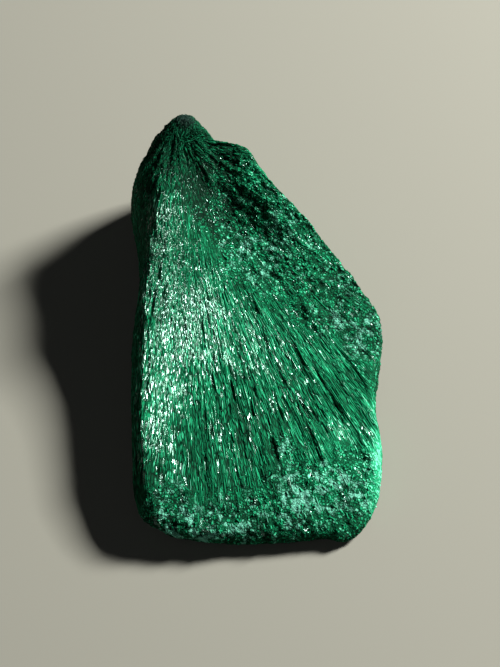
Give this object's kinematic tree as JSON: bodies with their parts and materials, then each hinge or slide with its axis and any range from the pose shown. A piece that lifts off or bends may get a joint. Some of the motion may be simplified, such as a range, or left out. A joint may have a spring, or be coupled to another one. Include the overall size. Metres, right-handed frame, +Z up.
{
  "type": "malachite specimen",
  "caption": "Rough piece of fibrous malachite: silky green needles fan out from a high tip over a scooped hollow to a thin broad edge; lies on a flat base.",
  "frame": {"origin": "middle of the stone's box on the plane it lies on", "axes": "+Y from the thin broad edge to the high tip, +Z up, +X to the right seen from the broad edge"},
  "size_m": [0.04, 0.0696, 0.0229],
  "materials": {
    "malachite": "silky, fibrous"
  },
  "bodies": {
    "root": {"malachite": "malachite"}
  },
  "joints": []
}
